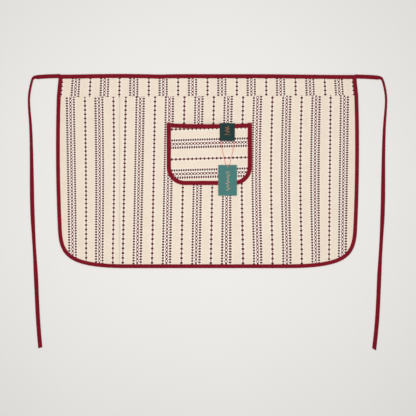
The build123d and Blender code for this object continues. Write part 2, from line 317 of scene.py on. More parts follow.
def bezier(a, b, c, d, count):
    t = np.linspace(0, 1, count)[:, None]
    s = 1 - t
    return s**3 * np.array(a) + 3 * s * s * t * np.array(b) + 3 * s * t * t * np.array(c) + t**3 * np.array(d)


def half_outline(inset):
    """The right half of the apron's outline moved inwards, from the waist to the middle of the hem."""
    knee = (KNEE[0] - inset, KNEE[1])
    hem_y = HEM_Y + inset
    knee_handle = KNEE_HANDLE - HANDLE_SHRINK * inset
    hem_handle = HEM_HANDLE - HANDLE_SHRINK * inset
    hip = (HIP[0] - inset, HIP[1])
    side = arc_through(hip, (HALF_WIDTH - inset, WIDEST_Y), knee, 60)
    corner = bezier(
        knee, (knee[0] - KNEE_LEAN * knee_handle, knee[1] - knee_handle),
        (HEM_CORNER_X + hem_handle, hem_y), (HEM_CORNER_X, hem_y), 80)
    return np.vstack([(WAIST_HALF_WIDTH - inset, WAIST_Y), side, corner[1:], (0, hem_y)])


def half_width(y, inset):
    outline = half_outline(inset)
    return np.interp(-y, -outline[:, 1], outline[:, 0])


def whole_outline(inset, top_y):
    """The outline from the left side's top, round the hem, to the right side's top."""
    right = half_outline(inset)
    right = right[right[:, 1] < top_y]
    right = np.vstack([(half_width(top_y, inset), top_y), right])
    left = right[::-1] * np.array((-1, 1))
    return np.vstack([right, left[1:]])[::-1]


def seam_y(x):
    """The yoke's lower edge."""
    share = (x + HALF_WIDTH) / (2 * HALF_WIDTH)
    return SEAM_LEFT_Y + (SEAM_RIGHT_Y - SEAM_LEFT_Y) * share


def crown_height(y):
    """How high the pocket's front stands at the pocket's middle line."""
    return CROWN * max(0.0, y - POCKET_LOW.y) / (MOUTH_TOP - POCKET_LOW.y)


def front_height(x, y):
    """Rise of the pocket's front over a place on it."""
    rise = crown_height(y)
    aside = x - POCKET_X
    if rise < 1e-3 or abs(aside) >= FRONT_HALF:
        return 0.0
    radius = (FRONT_HALF ** 2 + rise ** 2) / (2 * rise)
    return math.sqrt(radius ** 2 - aside ** 2) - (radius - rise)


def mouth_top(x):
    """The mouth binding's upper edge, which hangs a little between its ends."""
    share = (x - POCKET_X) / (POCKET_HIGH.x - POCKET_X)
    return MOUTH_TOP + 0.8 - MOUTH_SAG * max(0.0, 1 - share * share)


def lift(x, y):
    """Soft standing waves of the laid cloth, calm round the pocket and lower at the edges."""
    wave = noise.noise(Vector((x / 62, y / 260, 1.7)))
    wave += 0.6 * noise.noise(Vector((x / 150, y / 120, 8.1)))
    wave += 0.35 * noise.noise(Vector((x / 34, y / 90, 4.4)))
    beside = max(abs(x - POCKET_X) - (POCKET_HIGH.x - POCKET_X), 0.0)
    past = max(abs(y - (POCKET_LOW.y + POCKET_HIGH.y) / 2) - (POCKET_HIGH.y - POCKET_LOW.y) / 2, 0.0)
    calm = float(smoothstep(4.0, 70.0, math.hypot(beside, past)))
    edge = min(half_width_quick(y) - abs(x), y - HEM_Y, WAIST_Y - y)
    free = 0.25 + 0.75 * float(smoothstep(0.0, 45.0, edge))
    pressed = 1 - 0.5 * float(smoothstep(120.0, 190.0, y))
    return 1.5 * calm * free * pressed * (0.75 + wave)


OUTLINE_Y = -half_outline(0.0)[:, 1]
OUTLINE_X = half_outline(0.0)[:, 0]


def half_width_quick(y):
    return float(np.interp(-y, OUTLINE_Y, OUTLINE_X))


# ------------------------------------------------------------------ materials
class Field:
    """A number that varies over a surface, built from shader nodes by plain arithmetic."""

    def __init__(self, tree, socket):
        self.tree = tree
        self.socket = socket

    def math(self, operation, *others, clamp=False):
        node = self.tree.nodes.new("ShaderNodeMath")
        node.operation = operation
        node.use_clamp = clamp
        feed(self.tree, node.inputs, (self, *others))
        return Field(self.tree, node.outputs[0])

    def __add__(self, other):
        return self.math("ADD", other)

    def __sub__(self, other):
        return self.math("SUBTRACT", other)

    def __mul__(self, other):
        return self.math("MULTIPLY", other)

    def __truediv__(self, other):
        return self.math("DIVIDE", other)

    def clamped(self):
        return self.math("ADD", 0.0, clamp=True)

    def near(self, half, soft):
        """1 where the number is under half, falling to 0 over soft."""
        return ((self * -1.0) + (half + soft / 2)).math("DIVIDE", soft, clamp=True)


def feed(tree, inlets, values):
    """Each value into its inlet: a field by a link, anything else as it is."""
    for inlet, value in zip(inlets, values):
        if isinstance(value, Field):
            tree.links.new(value.socket, inlet)
        else:
            inlet.default_value = value


def srgb(red, green, blue):
    """A colour given as it looks on a screen, from 0 to 255, as the shader's own linear one."""
    shares = [c / 255 for c in (red, green, blue)]
    return (*[s / 12.92 if s <= 0.04045 else ((s + 0.055) / 1.055) ** 2.4 for s in shares], 1.0)


class Finish:
    """A material with its shader and the few node groups that every surface here uses."""

    def __init__(self, name, roughness, sheen=0.0, sheen_roughness=0.5, specular=0.3, metallic=0.0):
        self.material = bpy.data.materials.new(name)
        self.material.use_nodes = True
        self.tree = self.material.node_tree
        self.shader = self.tree.nodes["Principled BSDF"]
        self.shader.inputs["Roughness"].default_value = roughness
        self.shader.inputs["Sheen Weight"].default_value = sheen
        self.shader.inputs["Sheen Roughness"].default_value = sheen_roughness
        self.shader.inputs["Specular IOR Level"].default_value = specular
        self.shader.inputs["Metallic"].default_value = metallic

    def cloth_place(self):
        """Across and along the weave, in millimetres, and a third number each finish reads its own way: on
        the tapes it is fold wear plus painted highlight.
        """
        node = self.tree.nodes.new("ShaderNodeAttribute")
        node.attribute_name = "cloth"
        split = self.tree.nodes.new("ShaderNodeSeparateXYZ")
        self.tree.links.new(node.outputs["Vector"], split.inputs[0])
        return [Field(self.tree, socket) for socket in split.outputs]

    def object_place(self):
        """The place in the object, in millimetres."""
        node = self.tree.nodes.new("ShaderNodeTexCoord")
        split = self.tree.nodes.new("ShaderNodeSeparateXYZ")
        self.tree.links.new(node.outputs["Object"], split.inputs[0])
        return [Field(self.tree, socket) * (1 / MM) for socket in split.outputs]

    def noise(self, x, y, size, detail=2.0, z=0.0):
        """Smooth noise from 0 to 1 with features about size across."""
        joined = self.tree.nodes.new("ShaderNodeCombineXYZ")
        feed(self.tree, joined.inputs, (x, y, z))
        node = self.tree.nodes.new("ShaderNodeTexNoise")
        node.inputs["Scale"].default_value = 1 / size
        node.inputs["Detail"].default_value = detail
        self.tree.links.new(joined.outputs[0], node.inputs["Vector"])
        return Field(self.tree, node.outputs[0])

    def specks(self, x, y):
        """One random number for each thread crossing."""
        joined = self.tree.nodes.new("ShaderNodeCombineXYZ")
        feed(self.tree, joined.inputs, (x, y))
        node = self.tree.nodes.new("ShaderNodeTexWhiteNoise")
        node.noise_dimensions = "2D"
        self.tree.links.new(joined.outputs[0], node.inputs["Vector"])
        return Field(self.tree, node.outputs["Value"])

    def mix(self, share, low, high):
        """A colour between two, each a fixed colour or one worked out before."""
        node = self.tree.nodes.new("ShaderNodeMix")
        node.data_type = "RGBA"
        feed(self.tree, (node.inputs[0], node.inputs[6], node.inputs[7]), (share, low, high))
        return Field(self.tree, node.outputs[2])

    def coloured(self, colour):
        self.tree.links.new(colour.socket, self.shader.inputs["Base Color"])

    def rough(self, share, low, high):
        self.tree.links.new((share * (high - low) + low).socket, self.shader.inputs["Roughness"])

    def bumped(self, height, depth):
        """Relief whose full height is depth, in millimetres."""
        node = self.tree.nodes.new("ShaderNodeBump")
        node.inputs["Distance"].default_value = depth * MM
        self.tree.links.new(height.socket, node.inputs["Height"])
        self.tree.links.new(node.outputs[0], self.shader.inputs["Normal"])


def weave(across, along, thread):
    """Height of a plain weave, from 0 to 1."""
    turn = math.pi / thread
    warp = (across * turn).math("SINE").math("ABSOLUTE")
    weft = (along * turn).math("SINE").math("ABSOLUTE")
    over = ((across / (2 * thread)).math("FLOOR") + (along / (2 * thread)).math("FLOOR")).math("MODULO", 2.0)
    return warp * (over.math("ABSOLUTE") * 0.5 + 0.5) + weft * 0.5


COTTON_THREAD = 0.42
STRIPE_PERIOD = 79.0
BIG_DOT_PITCH = 11.0
SMALL_PITCH = 6.32
CHAIN_PITCH = 8.85
BIG_DOT = (4.0, 3.3)        # half width across the stripes and half length along them, as for all motifs
SMALL_DOT = (2.2, 1.8)
DENSE_KNOT = (3.8, 2.4)
DOTTED_KNOT = (4.2, 2.55)
CROSSING = (2.8, 2.3)
LOZENGE_HALF = 3.7
DENSE_SHIFT = -3.5          # where along the stripes a first knot lies, from a big dot
DOTTED_SHIFT = -0.35
CHAIN_SHIFT = -6.1
CREAM = srgb(237, 221, 204)
CREAM_LIGHT = srgb(244, 231, 214)
CREAM_SHADE = srgb(226, 210, 190)
WHITE_GROUND = srgb(255, 250, 240)
DARK_THREAD = srgb(86, 3, 15)
RED_THREAD = srgb(112, 6, 28)


def striped_cotton(name, dense, chain, dotted):
    """Cream cotton with woven stripes, each given by its offset from the line of big dots."""
    finish = Finish(name, roughness=0.86, sheen=0.05, specular=0.15)
    across, along, _ = finish.cloth_place()
    column = across.math("SNAP", COTTON_THREAD) + COTTON_THREAD / 2
    row = along.math("SNAP", COTTON_THREAD) + COTTON_THREAD / 2

    def from_line(offset):
        return (column - offset).math("PINGPONG", STRIPE_PERIOD / 2)

    def from_knot(pitch, shift=0.0):
        return (row - shift).math("PINGPONG", pitch / 2)

    def oval(sideways, lengthways, size):
        sideways = sideways / size[0]
        lengthways = lengthways / size[1]
        return (sideways * sideways + lengthways * lengthways).near(0.85, 0.5)

    big = oval(from_line(0.0), from_knot(BIG_DOT_PITCH), BIG_DOT)
    small = oval(from_line(0.0), from_knot(BIG_DOT_PITCH, BIG_DOT_PITCH / 2), SMALL_DOT) * 0.9
    dots_link = from_line(0.0).near(0.95, 0.4) * 0.5
    dense_line = from_line(dense).near(1.4, 0.4) * 0.5
    dense_knots = oval(from_line(dense), from_knot(SMALL_PITCH, DENSE_SHIFT), DENSE_KNOT)
    dotted_knots = oval(from_line(dotted), from_knot(SMALL_PITCH, DOTTED_SHIFT), DOTTED_KNOT)
    dotted_link = from_line(dotted).near(0.9, 0.4) * 0.25
    from_chain = from_line(chain)
    from_crossing = from_knot(CHAIN_PITCH, CHAIN_SHIFT)
    spread = from_crossing * (LOZENGE_HALF / (CHAIN_PITCH / 2))
    lozenge = (from_chain - spread).math("ABSOLUTE").near(1.25, 0.3) * from_chain.near(4.2, 0.5)
    crossing = oval(from_chain, from_crossing, CROSSING)
    dark = big.math("MAXIMUM", dense_line)
    for part in (dense_knots, dotted_knots, dotted_link, crossing * 0.4):
        dark = dark.math("MAXIMUM", part)
    red = small.math("MAXIMUM", dots_link).math("MAXIMUM", lozenge).math("MAXIMUM", crossing)
    ink = dark.math("MAXIMUM", red)

    # The weave leaves paler cream inside the lozenges, beside them and round the lines.
    outside = (from_chain - spread - 0.8).clamped()
    triangle = outside * (from_chain + spread * 0.6).near(5.4, 0.8)
    inside = (spread - from_chain - 1.0).clamped()
    ground = (from_chain.near(14.5, 2.4) * 0.6).math("MAXIMUM", triangle).math("MAXIMUM", inside)
    halo = from_line(0.0).near(5.2, 1.6) * 0.5
    ground = ground.math("MAXIMUM", halo)
    cloudy = finish.noise(across, along, 38.0, 3.0)
    slub = finish.noise(across * 6.0, along, 16.0, 3.0)
    speck = finish.specks(column, row)
    paper = finish.mix(cloudy, CREAM_SHADE, CREAM_LIGHT)
    paper = finish.mix((slub * 0.5 + 0.1).clamped(), paper, CREAM)
    paper = finish.mix(ground, paper, WHITE_GROUND)
    paper = finish.mix(speck * 0.13, paper, CREAM_SHADE)
    worn = speck * 0.2 + 0.88
    inked = finish.mix((red * worn).clamped(), paper, RED_THREAD)
    finish.coloured(finish.mix((dark * worn).clamped(), inked, DARK_THREAD))
    height = weave(across, along, COTTON_THREAD) + ink * 0.7 + finish.noise(across, along, 3.0, 3.0) * 0.5
    finish.bumped(height, 0.16)
    return finish.material


def tape_cotton(name, dark, middle, light):
    """Plain-woven binding tape, lighter along its folded edges: partly wear, partly a painted highlight where
    the rounded folds face the light.
    """
    finish = Finish(name, roughness=0.85, sheen=0.04, specular=0.12)
    across, along, rub_and_highlight = finish.cloth_place()
    thread = 0.36
    column = (across + along * 0.5).math("SNAP", thread)
    row = (along - across * 0.5).math("SNAP", thread)
    speck = finish.specks(column, row)
    cloudy = finish.noise(across, along, 14.0, 3.0)
    colour = finish.mix(cloudy, dark, middle)
    # Random thread specks and the folded edges get the lighter colour; on the folds it is part wear, part
    # painted highlight.
    colour = finish.mix((speck * 0.3 + rub_and_highlight * 0.45).clamped(), colour, light)
    finish.coloured(colour)
    ribs = weave(across + along * 0.5, along - across * 0.5, thread)
    finish.bumped(ribs + finish.noise(across, along, 2.2, 3.0) * 0.9, 0.16)
    return finish.material


def thread_finish(name, dark, light, roughness=0.5):
    """Twisted thread: fine slanting lines along each stitch."""
    finish = Finish(name, roughness=roughness, sheen=0.2, specular=0.4)
    around, along, _ = finish.cloth_place()
    twist = ((around + along * 2.2) * (2 * math.pi)).math("SINE") * 0.5 + 0.5
    fuzz = finish.noise(around, along, 0.8, 2.0)
    finish.coloured(finish.mix((twist * 0.6 + fuzz * 0.4).clamped(), dark, light))
    finish.bumped(twist + fuzz * 0.5, 0.12)
    return finish.material


def satin_label(name):
    """Dark green damask label with a denser woven edge."""
    finish = Finish(name, roughness=0.6, sheen=0.02, specular=0.2)
    across, along, edge = finish.cloth_place()
    thread = 0.3
    speck = finish.specks(across.math("SNAP", thread), along.math("SNAP", thread))
    cloudy = finish.noise(across, along, 9.0, 3.0)
    colour = finish.mix(cloudy, srgb(8, 41, 41), srgb(15, 50, 49))
    colour = finish.mix((speck * 0.3).clamped(), colour, srgb(25, 62, 60))
    colour = finish.mix((edge * 0.75).clamped(), colour, srgb(8, 34, 36))
    finish.coloured(colour)
    ribs = ((across + along * 0.35) * (math.pi / thread)).math("SINE") * 0.5 + 0.5
    finish.bumped(ribs + speck * 0.4 + edge * 0.8, 0.1)
    return finish.material


def tag_card(name):
    """Matt teal card with paper fibres, paler where its edges are cut."""
    finish = Finish(name, roughness=0.68, specular=0.2)
    x, y, _ = finish.object_place()
    fibre = finish.noise(x * 0.6, y * 2.0, 1.6, 4.0)
    cloudy = finish.noise(x, y, 26.0, 2.0)
    colour = finish.mix(cloudy, srgb(52, 106, 102), srgb(60, 114, 110))
    colour = finish.mix((fibre * 0.5).clamped(), colour, srgb(70, 120, 115))
    middle_x = (TAG_LOW.x + TAG_HIGH.x) / 2
    middle_y = (TAG_LOW.y + TAG_HIGH.y) / 2
    beside = (x - middle_x).math("ABSOLUTE") - ((TAG_HIGH.x - TAG_LOW.x) / 2 - 0.25)
    past = (y - middle_y).math("ABSOLUTE") - ((TAG_HIGH.y - TAG_LOW.y) / 2 - 0.25)
    cut = (beside.math("MAXIMUM", past) / 0.2).clamped()
    finish.coloured(finish.mix(cut * 0.6, colour, srgb(150, 180, 172)))
    finish.rough(fibre, 0.55, 0.72)
    finish.bumped(fibre + finish.noise(x, y, 0.5, 2.0) * 0.4, 0.06)
    return finish.material


def copper_foil(name, metallic):
    finish = Finish(name, roughness=0.4, specular=0.5, metallic=metallic)
    x, y, _ = finish.object_place()
    speckle = finish.noise(x, y, 0.7, 3.0)
    finish.coloured(finish.mix(speckle, srgb(168, 112, 78), srgb(204, 152, 116)))
    finish.rough(speckle, 0.36, 0.6)
    finish.bumped(speckle, 0.05)
    return finish.material


def copper_thread(name):
    """Satin stitch in a warm copper thread."""
    finish = Finish(name, roughness=0.45, sheen=0.1, specular=0.5)
    around, along, _ = finish.cloth_place()
    strands = (around * (math.pi / 0.34)).math("SINE").math("ABSOLUTE")
    fuzz = finish.noise(around, along, 1.1, 2.0)
    finish.coloured(finish.mix((strands * 0.6 + fuzz * 0.4).clamped(), srgb(112, 62, 34), srgb(186, 118, 72)))
    finish.bumped(strands + fuzz * 0.3, 0.14)
    return finish.material


def floor_finish(name):
    finish = Finish(name, roughness=0.9, specular=0.1)
    x, y, _ = finish.object_place()
    soft = finish.noise(x, y, 300.0, 2.0)
    finish.coloured(finish.mix(soft, srgb(225, 223, 220), srgb(228, 226, 223)))
    return finish.material


COTTON = striped_cotton("striped_cotton", dense=29.1, chain=38.9, dotted=48.4)
COTTON_TURNED = striped_cotton("striped_cotton_turned", dense=48.4, chain=38.9, dotted=29.1)
# The lightest burgundy lands on random threads and on the folded edges, where it is part wear, part painted
# highlight.
TAPE = tape_cotton("binding_tape", srgb(92, 2, 15), srgb(126, 8, 30), srgb(152, 26, 50))
TAPE_THREAD = thread_finish("burgundy_thread", srgb(96, 6, 26), srgb(150, 26, 52))
CREAM_THREAD = thread_finish("cream_thread", srgb(214, 200, 182), srgb(244, 234, 218))
GREEN_THREAD = thread_finish("green_thread", srgb(14, 44, 46), srgb(34, 80, 80))
STRING_YARN = thread_finish("salmon_string", srgb(206, 44, 30), srgb(240, 92, 70), roughness=0.65)
SATIN = satin_label("label_satin")
CARD = tag_card("tag_card")
FOIL = copper_foil("copper_foil", metallic=0.35)
COPPER_THREAD = copper_thread("copper_thread")


def lay_floor():
    size = 6.0
    mesh = bpy.data.meshes.new("floor")
    corners = [(-size, -size, 0), (size, -size, 0), (size, size, 0), (-size, size, 0)]
    mesh.from_pydata(corners, [], [(0, 1, 2, 3)])
    mesh.materials.append(floor_finish("floor"))
    floor = bpy.data.objects.new("floor", mesh)
    bpy.context.scene.collection.objects.link(floor)


lay_floor()


# ------------------------------------------------------------------ stitches
def stitch_row(name, points, normals, material, pitch=STITCH_PITCH, length=STITCH_LENGTH,
               radius=THREAD_RADIUS, sink=0.22):
    """Separate stitches along a line of points, each a thread that dips in at both ends."""
    ring = 6
    shares = (-0.5, -0.42, -0.2, 0.2, 0.42, 0.5)
    girth = (0.35, 0.8, 1.0, 1.0, 0.8, 0.35)
    along = distances(points)
    verts, faces, cloth = [], [], []
    count = int(along[-1] / pitch)
    for k in range(count):
        middle = (k + 0.5) * along[-1] / count
        places = [middle + share * length for share in shares]
        line = np.stack([np.interp(places, along, points[:, c]) for c in range(3)], axis=1)
        normal = np.array([np.interp(middle, along, normals[:, c]) for c in range(3)])
        forward = line[-1] - line[0]
        forward = forward / np.linalg.norm(forward)
        side = np.cross(forward, normal)
        first = len(verts)
        for i, share in enumerate(shares):
            depth = sink * (abs(share) / 0.5) ** 3
            centre = line[i] + normal * (radius * 0.35 - depth) + side * (0.08 * (-1) ** k)
            for j in range(ring):
                turn = 2 * math.pi * j / ring
                arm = side * math.cos(turn) + normal * math.sin(turn)
                verts.append(centre + arm * (radius * girth[i]))
                cloth.append((j / ring, places[i], 0.0))
        faces += tube_faces(len(shares), ring, first)
    return new_piece(name, verts, faces, material, cloth)


def flat_normals(points):
    return np.tile(UP, (len(points), 1))


# ------------------------------------------------------------------ bindings
def binding_section(width, low, top, stitch_depth=0.32):
    """A folded tape's outline as (across from its folded edge, height, fold wear and painted highlight, how
    puckered).
    """
    thick = top - low
    seam = width - STITCH_INSET
    return [
        (0.00, low + 0.50 * thick, 0.9, 0.0), (0.12, low + 0.22 * thick, 0.5, 0.0),
        (0.60, low + 0.04 * thick, 0.1, 0.0), (2.20, low, 0.0, 0.0),
        (seam, low, 0.0, 0.0), (width - 0.3, low, 0.0, 0.0), (width, low + 0.12 * thick, 0.2, 0.0),
        (width - 0.05, low + 0.40 * thick, 0.0, 0.0), (width + 0.05, top - 0.48 * thick, 0.1, 0.0),
        (width, top - 0.26 * thick, 0.7, 0.2), (width - 0.35, top - 0.13 * thick, 0.8, 0.5),
        (seam + 0.45, top - 0.10 * thick, 0.2, 0.9), (seam, top - stitch_depth, 0.0, 1.0),
        (seam - 0.55, top - 0.10 * thick, 0.1, 0.9), (seam - 1.6, top - 0.01 * thick, 0.1, 0.4),
        (0.45 * width, top, 0.1, 0.0), (0.22 * width, top - 0.02 * thick, 0.2, 0.0),
        (0.55, top - 0.10 * thick, 0.7, 0.0), (0.14, top - 0.27 * thick, 1.0, 0.0)]


def binding(name, path, section, material, height=None, step=1.5, ease=0.22, pucker=0.16):
    """A tape swept along its folded edge; path runs with the cloth on its left."""
    line, along = resample(path, step)
    inward = inward_of(line)
    verts, cloth = [], []
    girth = section_girth(section)
    for i, (x, y) in enumerate(line):
        raised = lift(x, y) if height is None else height(x, y)
        slack = ease * noise.noise(Vector((along[i] / 26, 2.0, 5.0)))
        beat = math.cos(2 * math.pi * along[i] / STITCH_PITCH)
        for (across, z, rub_and_highlight, puckered), around in zip(section, girth):
            place = across + slack * across / section[8][0]
            px = x + inward[i, 0] * place
            py = y + inward[i, 1] * place
            crumple = noise.noise(Vector((along[i] / 7, across / 3, 9.0))) * 0.12 * (z > section[0][1])
            pz = z + raised + crumple - pucker * puckered * (0.5 + 0.5 * beat)
            verts.append((px, py, pz))
            # The third number, fold wear plus painted highlight on the rounded edges, goes to the tape's
            # finish.
            cloth.append((around, along[i], rub_and_highlight))
    faces = [tuple(reversed(face)) for face in tube_faces(len(line), len(section))]
    return new_piece(name, verts, faces, material, cloth)


def seam_line(path, section_top, inset, width, height=None, step=1.5):
    """Points on a binding's seam, for its stitches."""
    line, _ = resample(path, step)
    places = line + inward_of(line) * (width - inset)
    raised = [lift(x, y) if height is None else height(x, y) for x, y in line]
    return np.column_stack([places, section_top + np.array(raised)])


def sewn_tape(tape_name, stitches_name, path, width, low, top, seam_top, height=None, ease=0.22):
    """A binding and the row of stitches along its seam."""
    tape = binding(tape_name, path, binding_section(width, low, top), TAPE, height, ease=ease)
    line = seam_line(path, seam_top, STITCH_INSET, width, height)
    return tape, stitch_row(stitches_name, line, flat_normals(line), TAPE_THREAD)


# ------------------------------------------------------------------ sheets of cloth
def two_faced(rows, columns):
    """Faces of a sheet whose upper points come first and its lower points after them."""
    count = rows * columns
    faces = []
    for i in range(rows - 1):
        for j in range(columns - 1):
            quad = (i * columns + j, i * columns + j + 1, (i + 1) * columns + j + 1, (i + 1) * columns + j)
            faces.append(quad)
            faces.append(tuple(count + k for k in reversed(quad)))
    rim = [j for j in range(columns)]
    rim += [i * columns + columns - 1 for i in range(1, rows)]
    rim += [(rows - 1) * columns + j for j in range(columns - 2, -1, -1)]
    rim += [i * columns for i in range(rows - 2, 0, -1)]
    for a, b in zip(rim, rim[1:] + rim[:1]):
        faces.append((b, a, count + a, count + b))
    return faces


def closed_sheet(name, grid, thickness, material, cloth):
    """A sheet from a grid of points on its upper face: both faces and the rim."""
    upper = grid.reshape(-1, 3)
    points = np.vstack([upper, upper - UP * thickness])
    both = np.vstack([cloth.reshape(-1, 3)] * 2)
    return new_piece(name, points, two_faced(*grid.shape[:2]), material, both)


def laid_sheet(name, rows, height, place, material):
    """A sheet of cotton from rows of (x, y) points; height and place in the weave are functions of them."""
    grid = np.array([[(x, y, height(x, y)) for x, y in row] for row in rows])
    cloth = np.array([[(*place(x, y), 0.0) for x, y in row] for row in rows])
    return closed_sheet(name, grid, CLOTH, material, cloth)


FALL = 425.0                # down the stripes, from the yoke seam to where their lean is measured
SKEW = 0.005                # the weft sinks a little to the right
CALM_FROM = 0.93            # share of FALL from where the dots' spacing stays the same


def depth_down(x, y):
    """Distance down the stripes from the first big dots.

    The dots' spacing changes on the way down, as a cubic, and stays the same from CALM_FROM on.
    """
    share = (SEAM_RIGHT_Y - y - SKEW * (x + 142)) / FALL
    bent = min(share, CALM_FROM)
    return ((-98.0 * bent + 127.5) * bent + 379.9) * bent - 59.7 + 0.86 * FALL * (share - bent)


MAIN_DOTS_X = 17.4          # where a line of big dots starts at the yoke seam, in the main panel
SIDE_DOTS_X = -331.0        # and in the side panel
SIDE_PERIOD = 77.6          # the stripes' own period, as each cloth lies
YOKE_PERIOD = 79.2
POCKET_PERIOD = 81.0


def bowed(t):
    """A bow that is 0 at the yoke seam and FALL below it, and 1 halfway."""
    return math.sin(math.pi * min(max(t, 0), 1))


def main_weave(x, y):
    """Place in the main panel's weave: stripes lean left on the way down, or bow left in the middle."""
    t = (SEAM_RIGHT_Y - y) / FALL
    left_part = 1 - float(smoothstep(20, 110, x))
    right_part = float(smoothstep(270, 340, x))
    middle = 1 - left_part - right_part
    drift = -(8 * left_part + 4.5 * right_part) * t - 4 * middle * bowed(t)
    drift -= (3.0 + 1.5 * t) * float(smoothstep(305, 372, x))
    return x - drift - MAIN_DOTS_X + 0.6 * (1 - float(smoothstep(-120, 0, x))), depth_down(x, y)


def side_weave(x, y):
    """Place in the side panel's weave: stripes lean right at its edge and left at the join."""
    t = (SEAM_RIGHT_Y - y) / FALL
    share = (x + 379) / 125
    drift = 0.3 - 0.9 * share + t * (7.5 * (1 - share) - 1.5 * share)
    drift += 2.8 * share * bowed(t)
    return (x - drift - SIDE_DOTS_X) * STRIPE_PERIOD / SIDE_PERIOD, depth_down(x, y)


def yoke_weave(x, y):
    """Place in the yoke's weave: stripes lean outwards on the way down and crowd inwards at both ends."""
    down = (WAIST_LOW.y - y) / (WAIST_LOW.y - SEAM_LEFT_Y)
    drift = 5 * (x / 400) ** 3 * (down - 0.5)
    drift += 2.2 * float(smoothstep(330, 385, -x)) - 2.4 * float(smoothstep(330, 385, x))
    return (x - drift) * STRIPE_PERIOD / YOKE_PERIOD, WAIST_Y - y


POCKET_ROW_Y = 115.3
POCKET_TURN = math.radians(1.6)


def pocket_weave(x, y):
    """The pocket's cloth is cut across, so its stripes lie in rows that rise a little to the right."""
    down = POCKET_ROW_Y - y + math.tan(POCKET_TURN) * (x - POCKET_X)
    return down * STRIPE_PERIOD / POCKET_PERIOD, x - POCKET_X + 2.0


def panel_height(x, y):
    """Upper face of the skirt panels: waves, puckers along the bindings and a dip at their join."""
    edge = min(half_width_quick(y) - abs(x), y - HEM_Y)
    pucker = noise.noise(Vector((x / 7, y / 7, 2.2))) * 0.32 * (1 - float(smoothstep(8.0, 34.0, edge)))
    join = 0.3 * math.exp(-((x - JOIN_X) / 1.6) ** 2)
    return PANEL_TOP + lift(x, y) + pucker - join


def yoke_height(x, y):
    """Upper face of the yoke, with its turned lower edge standing a little proud."""
    above = y - seam_y(x)
    roll = 0.55 * math.exp(-((above - 2.2) / 2.6) ** 2) - 0.5 * math.exp(-(above / 0.7) ** 2)
    pucker = noise.noise(Vector((x / 8, y / 8, 6.2))) * 0.25
    free = float(smoothstep(BINDING_WIDTH - 3.0, BINDING_WIDTH + 5.0, half_width_quick(y) - abs(x)))
    return YOKE_TOP + 0.25 * free + lift(x, y) + (roll + pucker) * free


def skirt_rows(top, bottom, count):
    """Rows from top to bottom that crowd together towards the hem."""
    shares = [math.sin(math.pi / 2 * k / (count - 1)) ** 1.15 for k in range(count)]
    return [top + (bottom - top) * share for share in shares]


def skirt():
    cut_left = SEAM_LEFT_Y + SEAM_OVERLAP
    cut_right = SEAM_RIGHT_Y + SEAM_OVERLAP
    bottom = HEM_Y + TUCK

    def cut_y(x):
        share = (x + HALF_WIDTH) / (2 * HALF_WIDTH)
        return cut_left + (cut_right - cut_left) * share

    def right(y):
        return float(half_width(y, TUCK))

    def main_left(y):
        return max(JOIN_X, -right(y))

    def fill(name, columns, levels, left, right_edge, place, material):
        """A panel whose rows follow the slanting cut near the seam and level out further down."""
        rows = []
        for level in levels:
            share = float(smoothstep(bottom + 200, cut_left, level))
            across = np.linspace(left(level), right_edge(level), columns)
            rows.append([(x, level + share * (cut_y(x) - cut_left)) for x in across])
        return laid_sheet(name, rows, panel_height, place, material)

    main = fill("main_panel_cloth", 212, skirt_rows(cut_left, bottom, 150),
                main_left, right, main_weave, COTTON)
    side = fill("side_panel_cloth", 58, skirt_rows(cut_left, side_panel_bottom(), 140),
                lambda y: -right(y), lambda y: JOIN_X, side_weave, COTTON_TURNED)
    for piece, node in ((main, "main_panel"), (side, "side_panel")):
        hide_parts(node)
        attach(piece, "apron")
    return main, side


def side_panel_bottom():
    """Where the join between the panels runs out into the hem."""
    outline = half_outline(TUCK)
    low = outline[outline[:, 1] < KNEE[1]]
    return float(np.interp(-abs(JOIN_X), -low[:, 0], low[:, 1])) + 0.2


def yoke():
    top = YOKE_HIGH.y
    count = 20
    rows = []
    for i in reversed(range(count)):
        share = (i / (count - 1)) ** 1.5
        level = SEAM_RIGHT_Y + (top - SEAM_RIGHT_Y) * share
        reach = float(half_width(level, TUCK))
        rows.append([(x, seam_y(x) + (top - seam_y(x)) * share) for x in np.linspace(-reach, reach, 262)])
    piece = laid_sheet("yoke_cloth", rows, yoke_height, yoke_weave, COTTON_TURNED)
    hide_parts("waist_yoke")
    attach(piece, "apron")
    return piece


def edge_bindings():
    edge, stitches = sewn_tape("edge_tape", "edge_stitches", whole_outline(0.0, WAIST_LOW.y + 1.0),
                               BINDING_WIDTH, 0.0, BINDING_TOP, BINDING_TOP - 0.3)
    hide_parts("edge_binding")
    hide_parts("edge_stitching")

    reach = WAIST_HIGH.x - 0.3
    waist_path = np.array([(x, WAIST_Y + waist_wave(x)) for x in np.linspace(reach, -reach, 240)])
    waist, waist_stitches = sewn_tape("waist_tape", "waist_stitches", waist_path, WAIST_TAPE_WIDTH,
                                      0.0, BINDING_TOP + 0.25, BINDING_TOP - 0.05, ease=0.4)
    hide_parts("waist_binding")
    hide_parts("waist_stitching")
    for piece in (edge, stitches, waist, waist_stitches):
        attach(piece, "apron")
    return edge, waist, [stitches, waist_stitches]


def waist_wave(x):
    """The waist edge isn't ruler straight: one swell, one dip, and ends that sink a little."""
    swell = 0.7 * math.exp(-((x + 235) / 50) ** 2) - 1.0 * math.exp(-((x + 130) / 30) ** 2)
    right_end = 2.2 * float(smoothstep(120, 380, x))
    left_end = 1.2 * float(smoothstep(290, 385, -x))
    return 0.1 + swell - right_end - left_end


